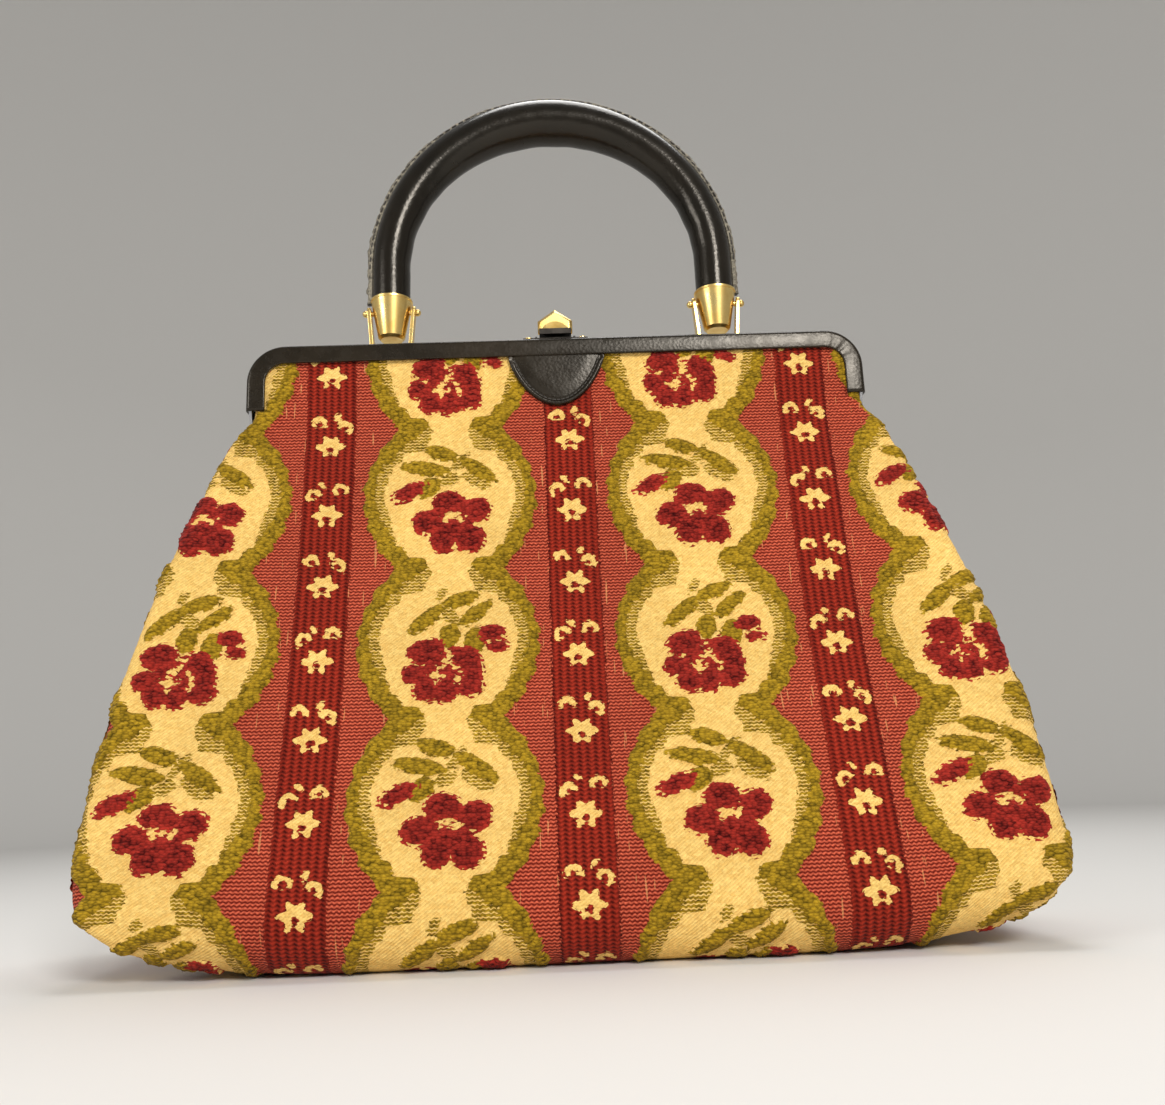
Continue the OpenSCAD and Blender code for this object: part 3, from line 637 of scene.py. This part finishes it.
def make_leather(name, deep, pale, smoothest, roughest):
    """Calf: fine grain, uneven gloss and a paler tone in patches."""
    made = Shader(name, Specular_IOR_Level=0.36, Specular_Tint=(1.0, 0.91, 0.78))
    place = made.object_coordinates()
    grain, _ = made.cells(place, 900.0)
    patches = made.noise(place, 35.0, 4.0)
    streaks = made.noise(place, 160.0, 5.0, 0.65)
    made.set("Base Color", made.mix(made.spread(patches, 0.35, 0.7, 0.0, 1.0), deep, pale))
    made.set("Roughness", made.spread(streaks, 0.3, 0.7, smoothest, roughest))
    made.bump(made.math("MULTIPLY_ADD", streaks, 0.8, grain), 0.08, 0.4)
    return made.material


def make_raw_edge():
    """Rubbed raw edge of the leather: rough, grey and fibrous."""
    made = Shader("raw_leather_edge", Roughness=0.8)
    place = made.object_coordinates()
    fibres = made.noise(made.stretch(place, (1.0, 3.0, 1.0)), 700.0, 5.0, 0.7)
    worn = made.spread(fibres, 0.35, 0.65, 0.0, 1.0)
    made.set("Base Color", made.mix(worn, linear(58, 53, 45), linear(164, 155, 135)))
    made.bump(fibres, 0.4, 0.8)
    return made.material


def make_thread():
    """Waxed black thread of the sewn edges."""
    made = Shader("black_thread", Roughness=0.6)
    place = made.object_coordinates()
    twist = made.noise(place, 900.0, 2.0)
    made.set("Base Color", made.mix(twist, linear(40, 36, 32), linear(74, 68, 60)))
    made.bump(twist, 0.1, 0.6)
    return made.material


def make_metal(name, pale, deep, rough_low, rough_high):
    """A worn metal with faint scratches and a duller, darker bloom."""
    made = Shader(name, Metallic=1.0)
    place = made.object_coordinates()
    bloom = made.noise(place, 120.0, 5.0, 0.6)
    scratch = made.noise(made.stretch(place, (400.0, 400.0, 3000.0)), 1.0, 2.0)
    made.set("Base Color", made.mix(made.spread(bloom, 0.35, 0.7, 0.0, 1.0), pale, deep))
    made.set("Roughness", made.spread(bloom, 0.3, 0.7, rough_low, rough_high))
    made.bump(scratch, 0.02, 0.5)
    return made.material


def make_plain_cloth(name, pale, deep, pitch):
    """A plain cloth or card with threads or grains of one pitch in millimetres."""
    made = Shader(name, Roughness=0.8, Sheen_Weight=0.15)
    place = made.object_coordinates()
    cross, _ = made.cells(place, 1 / (pitch * MM), 0.3)
    patches = made.noise(place, 60.0, 4.0)
    made.set("Base Color", made.mix(patches, pale, deep))
    made.bump(cross, 0.15, 0.6)
    return made.material


tapestry = make_tapestry()
leather = make_leather("black_leather", linear(22, 18, 12), linear(38, 31, 22), 0.2, 0.34)
rolled_leather = make_leather("rolled_leather", linear(14, 12, 9), linear(26, 22, 17), 0.17, 0.29)
raw_edge = make_raw_edge()
thread = make_thread()
brass = make_metal("aged_brass", linear(250, 222, 146), linear(220, 178, 96), 0.24, 0.38)
dark_steel = make_metal("dark_steel", linear(58, 54, 50), linear(30, 28, 26), 0.35, 0.55)
frame_steel = make_metal("frame_steel", linear(172, 172, 174), linear(120, 120, 122), 0.3, 0.5)
lining_cloth = make_plain_cloth("lining_cotton", linear(150, 124, 92), linear(124, 100, 72), 0.5)
card = make_plain_cloth("grey_card", linear(142, 134, 120), linear(118, 110, 98), 0.9)


# Cloth of the body
def pressed_flat(points, has_tab):
    """1 where the cloth lies under the frame, under the tab or on the floor, and 0 elsewhere."""
    x = points[..., 0]
    z = points[..., 2]
    face_z = frame_top - frame_face
    room = 2
    under_frame = smooth(z, face_z - room, face_z + 1)
    on_floor = smooth(-z, -room, -0.8)
    beside = smooth(np.abs(x), tab_high[0] + room, tab_high[0]) * has_tab
    above = smooth(z, tab_low[2] - room, tab_low[2])
    return np.maximum(np.maximum(under_frame, on_floor), beside * above)


lining_grid = 4
lining_in = 2.4
gusset_in = 0.5
gusset_tuck = 1
gusset_lining_in = 2.8
gusset_lining_tuck = -1.5


def lining_piece(name, points, first, last):
    """A sheet of lining that faces the inside of the bag."""
    piece, _ = grid_piece(name, points, first, last, True)
    piece.data.materials.append(lining_cloth)
    return piece


def make_panel(side):
    """Front or back tapestry panel and the lining behind it."""
    facing = 1 if side == "front" else -1
    turned = np.array([facing, facing, 1])
    points, outward, across, down, first, last = body_sheet(grid, 0)
    cloth_x = across - facing * red_column_x
    cloth_y = down - neck_down
    plain = pressed_flat(points, side == "front")
    outside = tapestry_piece(
        f"tapestry_{side}", points * turned, outward * turned, cloth_x, cloth_y, first, last, plain
    )
    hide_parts(f"{side}_panel")
    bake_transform(outside)

    inner, _, _, _, low, high = body_sheet(lining_grid, lining_in)
    inner[..., 2] += lining_in * smooth(edge_r - inner[..., 2], 0, 8)
    inside = lining_piece(f"lining_{side}", inner * turned, low, high)
    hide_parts(f"{side}_lining")
    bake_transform(inside)


def gusset_sheet(spacing, inset, tuck):
    """Grid of points on the right side between the panels' rolled edges, with places across and down."""
    rows = section_rows(spacing)
    _, depth, height, _, _ = rows[..., 0]
    on_side = (height <= crease_z) & ((depth >= base_half_d - edge_r) | (height > edge_r))
    _, depth, height, out_depth, out_height = rows[:, on_side]
    limit = row_limit(height) - inset
    roll = edge_roll(height)
    end_y = depth - out_depth * roll + tuck
    end_z = height - out_height * roll + lift(limit, height)
    y, first, last = row_columns(end_y, spacing)
    middle = 1 - np.clip(np.abs(y) / end_y, 0, 1) ** 2
    tall = smooth(height, 20, 90) * (1 - 0.6 * smooth(height, 120, crease_z))
    points = np.stack([limit - gusset_sag * middle * tall, y, np.broadcast_to(end_z, y.shape)], -1)
    down = running_length(np.concatenate([limit, end_z], 1))
    return points, y, np.broadcast_to(down[:, None], y.shape), first, last


def make_gusset(side):
    """Left or right tapestry gusset and its lining."""
    facing = 1 if side == "right" else -1
    turned = np.array([facing, facing, 1])
    points, cloth_x, down, first, last = gusset_sheet(grid, gusset_in, gusset_tuck)
    outward = np.broadcast_to([facing, 0, 0], points.shape)
    cloth_y = down + crease_z - first_neck_z
    plain = smooth(points[..., 2], crease_z - 6, crease_z)
    outside = tapestry_piece(
        f"tapestry_{side}", points * turned, outward, cloth_x, cloth_y, first, last, plain
    )
    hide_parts(f"{side}_gusset")
    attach(outside, "bag")

    inner, _, _, low, high = gusset_sheet(lining_grid, gusset_lining_in, gusset_lining_tuck)
    inside = lining_piece(f"lining_{side}", inner * turned, low, high)
    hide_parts(f"{side}_gusset_lining")
    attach(inside, "bag")


for panel_side in ("front", "back"):
    make_panel(panel_side)
for gusset_side in ("left", "right"):
    make_gusset(gusset_side)


# Leather of the frame and the handle
def rounded(corners):
    """Closed outline of corners given as x, y and radius."""
    outline = []
    count = len(corners)
    steps = 5
    for number, (x, y, radius) in enumerate(corners):
        here = np.array([x, y], float)
        before = np.array(corners[number - 1][:2], float) - here
        after = np.array(corners[(number + 1) % count][:2], float) - here
        before = before / np.linalg.norm(before)
        after = after / np.linalg.norm(after)
        half = math.acos(np.clip(before @ after, -1, 1)) / 2
        reach = radius / math.tan(half)
        middle = here + (before + after) / np.linalg.norm(before + after) * radius / math.sin(half)
        start = here + before * reach - middle
        end = here + after * reach - middle
        first = math.atan2(start[1], start[0])
        swing = wrap(math.atan2(end[1], end[0]) - first, 2 * math.pi)
        for angle in first + swing * np.arange(steps + 1) / steps:
            outline.append(middle + radius * np.array([math.cos(angle), math.sin(angle)]))
    return np.array(outline)


def arch_path(half_span, radius, foot_z, spring_z, step):
    """Base points and outward directions along a U turned down, from left to right."""
    climb = np.arange(foot_z, spring_z, step)
    bend = np.linspace(math.pi, math.pi / 2, max(int(radius * math.pi / 2 / step), 12))
    top = np.linspace(-half_span, half_span, int(2 * half_span / step))[1:-1]
    left = [(-half_span, z, -1, 0) for z in climb]
    left += [(-half_span, spring_z, math.cos(angle), math.sin(angle)) for angle in bend]
    right = [(-x, z, -out_x, out_z) for x, z, out_x, out_z in left[::-1]]
    if half_span == 0:
        right = right[1:]
    path = np.array(left + [(x, spring_z, 0, 1) for x in top] + right)
    return path[:, :2], path[:, 2:]


def ring_faces(rings, sides):
    """Faces that join rings of points one after another, with both ends closed."""
    faces = []
    for ring in range(rings - 1):
        for side in range(sides):
            after = (side + 1) % sides
            low = ring * sides
            high = low + sides
            faces.append([low + side, low + after, high + after, high + side])
    faces.append(list(range(sides))[::-1])
    faces.append([(rings - 1) * sides + k for k in range(sides)])
    return faces


def sweep(name, base, way, out, depth):
    """A closed outline swept along a path, with the distances out and the depths of each ring."""
    rings, sides = out.shape
    points = np.empty((rings, sides, 3))
    points[..., 0] = base[:, None, 0] + way[:, None, 0] * out
    points[..., 1] = depth
    points[..., 2] = base[:, None, 1] + way[:, None, 1] * out
    return new_mesh(name, points.reshape(-1, 3), ring_faces(rings, sides))


def make_frame_leather(side):
    """Leather over one half of the frame, creased where it turns the corners."""
    facing = -1 if side == "front" else 1
    low = frame_r - frame_face
    lip = low - 0.3
    skin = 1.05
    outline = rounded([
        (lip, cover_out, 0.5), (frame_r, cover_out, 1.5), (frame_r, cover_in, 1.2), (lip, cover_in, 0.4),
        (lip, cover_in + skin, 0.4), (frame_r - skin, cover_in + skin, 0.3),
        (frame_r - skin, cover_out - skin, 0.3), (lip, cover_out - skin, 0.4),
    ])
    base, way = arch_path(frame_half_l - frame_r, frame_r, arm_end_z, frame_top - frame_r, 1.2)
    turn = np.arctan2(way[:, 1], np.abs(way[:, 0]))
    at_corner = np.sin(2 * turn) ** 2
    out = np.broadcast_to(outline[:, 0], (len(base), len(outline)))
    depth = np.broadcast_to(outline[:, 1], (len(base), len(outline)))
    fold_count = 15
    fold_depth = 0.5
    folds = np.maximum(np.cos(turn * fold_count + 0.6 * np.sign(way[:, 0])), 0) ** 3 * at_corner
    near = smooth(out, frame_r + 1, low)
    ripple = 0.12 * np.sin(base[:, 0] / 7.3 + base[:, 1] / 5.1) * np.sin(base[:, 0] / 17.7)
    front = smooth(depth, half_mid, cover_out)
    depth = depth - (fold_depth * folds[:, None] * near + 0.25 * ripple[:, None]) * front
    out = out + 0.2 * ripple[:, None] * front
    piece = sweep(f"frame_leather_{side}", base, way, out, depth * facing)
    piece.data.materials.append(leather)
    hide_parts(f"{side}_frame_cover")
    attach(piece, f"{side}_frame")


def capsules(name, middles, along, thick, length):
    """Short threads with round ends, one at each middle and along each direction."""
    sides, rings = 8, 6
    bend = np.linspace(-math.pi / 2, math.pi / 2, rings)
    around = np.arange(sides) * 2 * math.pi / sides
    points, faces = [], []
    for middle, way in zip(middles, along):
        way = way / np.linalg.norm(way)
        side = np.cross(way, (0.3, 0.9, 0.2))
        side = side / np.linalg.norm(side)
        third = np.cross(way, side)
        start = len(points)
        for angle in bend:
            push = math.sin(angle) * thick + np.sign(angle) * (length / 2 - thick)
            wide = max(math.cos(angle), 0.05) * thick
            for turn in around:
                points.append(middle + way * push + wide * (side * math.cos(turn) + third * math.sin(turn)))
        faces += [[start + k for k in face] for face in ring_faces(rings, sides)]
    return new_mesh(name, points, faces)


def make_handle():
    """Rolled leather handle, fuller at its crown, with the raw edge of its sewn welt along the outside."""
    middle_y = (grip_low[1] + grip_high[1]) / 2
    arch_r = (ferrule_low[0] + ferrule_high[0]) / 2
    leg_r = grip_high[0] - arch_r - welt_h
    arch_z = grip_high[2] - arch_r - crown_r - welt_h
    step = 1.2
    base, way = arch_path(0, arch_r, ferrule_high[2] - 1, arch_z, step)
    length = np.arange(len(base)) * step
    radius = leg_r + (crown_r - leg_r) * way[:, 1] ** 2
    half = welt_t / 2
    root = math.asin((half + 0.3) / leg_r)
    tube_sides = 52
    bend = np.linspace(root, 2 * math.pi - root, tube_sides)
    fin = [(0.2, -half), (welt_h * 0.5, -half - 0.1), (welt_h - 0.4, -half), (welt_h, -half + 0.5)]
    fin = np.array(fin + [(welt_h - 0.3, 0)] + [(rise, -side) for rise, side in fin[::-1]])
    wrinkle = 0.14 * np.sin(length / 1.9 + 2 * np.sin(length / 11)) * np.sin(length / 23) ** 2
    swell = 0.12 * np.sin(length / 31) + 0.08 * np.sin(length / 13.7)
    inner = smooth(-np.cos(bend), 0.3, 1)
    tube = radius[:, None] + swell[:, None] + wrinkle[:, None] * inner
    ragged = chance.normal(0, 0.12, (len(base), len(fin)))
    wavy = 0.2 * np.sin(length / 4.3) * np.sin(length / 17)
    fin_out = radius[:, None] + fin[:, 0] * (1 + ragged)
    fin_depth = fin[:, 1] + wavy[:, None] + ragged
    out = arch_r + np.concatenate([tube * np.cos(bend), fin_out], 1)
    depth = middle_y + np.concatenate([tube * np.sin(bend), fin_depth], 1)
    piece = sweep("handle_leather", base, way, out, depth)
    piece.data.materials.append(rolled_leather)
    piece.data.materials.append(raw_edge)
    at_side = np.arange(len(piece.data.polygons)) % out.shape[1]
    piece.data.polygons.foreach_set("material_index", (at_side >= tube_sides).astype(np.int32))
    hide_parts("handle_cover")
    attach(piece, "handle")

    pitch = 3.1
    turns = np.linspace(0.02, math.pi - 0.02, int(math.pi * (arch_r + crown_r) / pitch))
    middles, along = [], []
    for face in (-1, 1):
        for angle in turns:
            sewn_r = arch_r + leg_r + (crown_r - leg_r) * math.sin(angle) ** 2 + welt_h * 0.55
            across = middle_y + face * (half + 0.12)
            middles.append((sewn_r * math.cos(angle), across, arch_z + sewn_r * math.sin(angle)))
            along.append((-math.sin(angle), 0, math.cos(angle)))
    thread_r = 0.32
    stitch_l = 2.2
    stitches = capsules("handle_stitches", np.array(middles), np.array(along), thread_r, stitch_l)
    stitches.data.materials.append(thread)
    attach(stitches, "handle")


def tab_half(share):
    """Half width of the tab at a share of its way down."""
    point_power = 1.37
    return tab_high[0] * np.sqrt(np.clip(1 - share ** point_power, 0, 1))


def tab_outline(count):
    """Edge of the tab from its upper right round its tip to its upper left."""
    share = np.linspace(0, 1, count) ** 0.5
    share = 1 - (1 - share) ** 2
    z = tab_high[2] - share * (tab_high[2] - tab_low[2])
    right = np.stack([tab_half(share), z], 1)
    left = right[::-1] * np.array([-1, 1])
    return np.concatenate([right, left[1:]])


def make_tab():
    """Leather shield under the middle of the frame, with a raised rim and a stitched groove."""
    edge = tab_outline(120)
    rows, columns = 46, 81
    fall = 1 - (1 - np.linspace(0, 1, rows)) ** 1.6
    tip_half = 0.02
    half = tab_half(fall)
    half[-1] = tip_half
    share = np.sin(np.linspace(-math.pi / 2, math.pi / 2, columns))
    x = share[None, :] * half[:, None]
    z = np.broadcast_to((tab_high[2] - fall * (tab_high[2] - tab_low[2]))[:, None], x.shape)
    flat = np.stack([x, z], -1).reshape(-1, 1, 2)
    inside = np.linalg.norm(flat - edge[None], axis=2).min(1).reshape(x.shape)
    thick = tab_high[1] - tab_low[1]
    rim_r = 0.7
    groove = 1.9
    groove_half = 0.4
    groove_depth = 0.35
    crown = 0.25
    crown_from_edge = 7
    height = thick * np.sqrt(np.clip(1 - (1 - np.clip(inside / rim_r, 0, 1)) ** 2, 0, 1))
    height = height - groove_depth * np.exp(-((inside - groove) / groove_half) ** 2)
    height = height + crown * smooth(inside, groove, crown_from_edge)
    front = np.stack([x, tab_high[1] - height, z], -1)
    back = np.stack([x, np.full_like(x, tab_high[1]), z], -1)
    points = np.concatenate([front.reshape(-1, 3), back.reshape(-1, 3)])
    size = rows * columns
    faces = grid_faces((rows, columns), np.zeros(rows, int), np.full(rows, columns - 1), False)
    faces += [[size + k for k in face[::-1]] for face in faces]
    index = np.arange(size).reshape(rows, columns)
    rim = np.concatenate([index[0, ::-1], index[1:, 0], index[-1, 1:], index[-2:0:-1, -1]]).tolist()
    faces += [[k, size + k, size + after, after] for k, after in zip(rim, rim[1:] + rim[:1])]
    piece = new_mesh("leather_tab", points, faces)
    piece.data.materials.append(leather)
    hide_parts("front_tab")
    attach(piece, "front_frame")

    run = running_length(edge)
    pitch = 2.0
    places = np.arange(2.2, run[-1] - pitch, pitch)
    at = np.stack([np.interp(places, run, edge[:, k]) for k in (0, 1)], 1)
    ahead = np.stack([np.interp(places + 0.5, run, edge[:, k]) for k in (0, 1)], 1) - at
    ahead = ahead / np.linalg.norm(ahead, axis=1)[:, None]
    inward = np.stack([-ahead[:, 1], ahead[:, 0]], 1)
    towards = np.array([0, (tab_high[2] + tab_low[2]) / 2]) - at
    inward = inward * np.sign((inward * towards).sum(1))[:, None]
    sewn = at + inward * groove
    kept = sewn[:, 1] < tab_high[2] - 0.6
    sewn, ahead = sewn[kept], ahead[kept]
    depth = np.full(len(sewn), tab_low[1] + 0.18)
    middles = np.stack([sewn[:, 0], depth, sewn[:, 1]], 1)
    along = np.stack([ahead[:, 0], np.zeros(len(sewn)), ahead[:, 1]], 1)
    thread_r = 0.28
    stitch_l = 1.5
    stitches = capsules("tab_stitches", middles, along, thread_r, stitch_l)
    stitches.data.materials.append(thread)
    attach(stitches, "front_frame")


def make_clasp_leaf():
    """Steel leaf under the clasp's tail, flat up to its bend and rising towards its free end."""
    low, high = node_box("clasp_spring")
    pin_low, pin_high = node_box("clasp_pin")
    leaf_t = 0.4
    room = 0.6
    bend_y = (pin_low[1] + pin_high[1]) / 2 + room
    y = np.linspace(low[1], high[1], 40)
    under = low[2] + (high[2] - leaf_t - low[2]) * np.clip((y - bend_y) / (high[1] - bend_y), 0, 1)
    corners = [(low[0], 0), (low[0], leaf_t), (high[0], leaf_t), (high[0], 0)]
    points = [(x, depth, level + rise) for depth, level in zip(y, under) for x, rise in corners]
    piece = new_mesh("clasp_leaf", points, ring_faces(len(y), len(corners)), False)
    piece.data.materials.append(frame_steel)
    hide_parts("clasp_spring")
    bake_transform(piece)


for frame_half in ("front", "back"):
    make_frame_leather(frame_half)
make_handle()
make_tab()
make_clasp_leaf()


# Finish of the CAD nodes that show as they are
weld_gap = 0.002
sharp_angle = math.radians(35)


def dress(names, material, bevel=0.0):
    """Gives CAD nodes a material, and softens their edges."""
    for name in names:
        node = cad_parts[name]
        node.data.materials.clear()
        node.data.materials.append(material)
        if bevel:
            weld = node.modifiers.new("weld", "WELD")
            weld.merge_threshold = weld_gap * MM
            edges = node.modifiers.new("edges", "BEVEL")
            edges.width = bevel * MM
            edges.segments = 2
            edges.limit_method = "ANGLE"
            edges.angle_limit = sharp_angle


dress(["left_ferrule", "right_ferrule", "left_handle_pin", "right_handle_pin", "clasp_pin"], brass)
dress(["left_bracket", "right_bracket", "clasp_head"], brass, 0.2)
dress(["front_rivets", "back_rivets", "left_hinge_rivet", "right_hinge_rivet"], brass)
dress(["clasp_base", "clasp_lever", "clasp_catch"], dark_steel, 0.15)
dress(["front_frame_bar", "back_frame_bar"], frame_steel)
dress(["base_board", "handle_core"], card)


# Stage
def make_stage():
    """Pale round floor, and a wall curving up round it that lamps and soft light pass through."""
    pale = linear(228, 226, 222)
    plain = Shader("pale_floor", Base_Color=pale, Roughness=0.9)
    wall = Shader("pale_wall", Base_Color=pale, Roughness=0.9)
    path = wall.node("ShaderNodeLightPath").outputs
    shown = wall.math("ADD", path["Is Camera Ray"], path["Is Glossy Ray"])
    shown = wall.math("ADD", shown, path["Is Transmission Ray"])
    clear = wall.node("ShaderNodeBsdfTransparent").outputs[0]
    seen = wall.node("ShaderNodeMixShader", {0: shown, 1: clear, 2: wall.surface.outputs[0]}).outputs[0]
    wall.fill(wall.tree.nodes["Material Output"].inputs["Surface"], seen)

    reach, bend, rise, sides = 1400, 500, 3200, 96
    turn = np.linspace(0, math.pi / 2, 24)
    profile = [(1, 0), (reach, 0)]
    profile += [(reach + bend * math.sin(angle), bend - bend * math.cos(angle)) for angle in turn[1:]]
    profile += [(reach + bend, rise)]
    around = np.arange(sides) * 2 * math.pi / sides
    points = [(out * math.cos(angle), out * math.sin(angle), z) for out, z in profile for angle in around]
    faces = [face[::-1] for face in ring_faces(len(profile), sides)[:-1]]
    floor = new_mesh("floor", points, faces)
    floor.data.materials.append(plain.material)
    floor.data.materials.append(wall.material)
    on_wall = np.arange(len(faces)) // sides
    on_wall = (on_wall > 0) & (on_wall < len(profile) - 1)
    floor.data.polygons.foreach_set("material_index", on_wall.astype(np.int32))


def add_light(name, place, size, power, target=(0, 0, 150)):
    """A soft square lamp at a place, facing a target."""
    lamp = bpy.data.lights.new(name, "AREA")
    lamp.size = size * MM
    lamp.energy = power
    holder = bpy.data.objects.new(name, lamp)
    holder.location = Vector(place) * MM
    aim = (Vector(target) - Vector(place)).to_track_quat("-Z", "Y")
    holder.rotation_euler = aim.to_euler()
    bpy.context.scene.collection.objects.link(holder)


def make_camera():
    """Camera at the photograph's place: low and close, looking a little up."""
    picture_w = 1165
    focal_px = 1080
    sensor = 36
    camera = bpy.data.cameras.new("camera")
    camera.sensor_width = sensor
    camera.lens = sensor * focal_px / picture_w
    camera.clip_start = 0.01
    holder = bpy.data.objects.new("camera", camera)
    holder.location = Vector((-2.84, -383.99, 52.3)) * MM
    holder.rotation_euler = Euler([math.radians(angle) for angle in (102.29, 2.262, -0.979)])
    bpy.context.scene.collection.objects.link(holder)
    bpy.context.scene.camera = holder


make_stage()
add_light("key", (330, -1000, 650), 300, 8)
add_light("fill", (-900, -700, 500), 400, 3.6)
add_light("top", (100, 200, 1100), 600, 5.5)
make_camera()
world = bpy.data.worlds.new("studio")
world.use_nodes = True
background = world.node_tree.nodes["Background"].inputs
background["Color"].default_value = (1, 0.98, 0.95, 1)
background["Strength"].default_value = 0.35
bpy.context.scene.world = world
bpy.context.scene.view_settings.view_transform = "Standard"
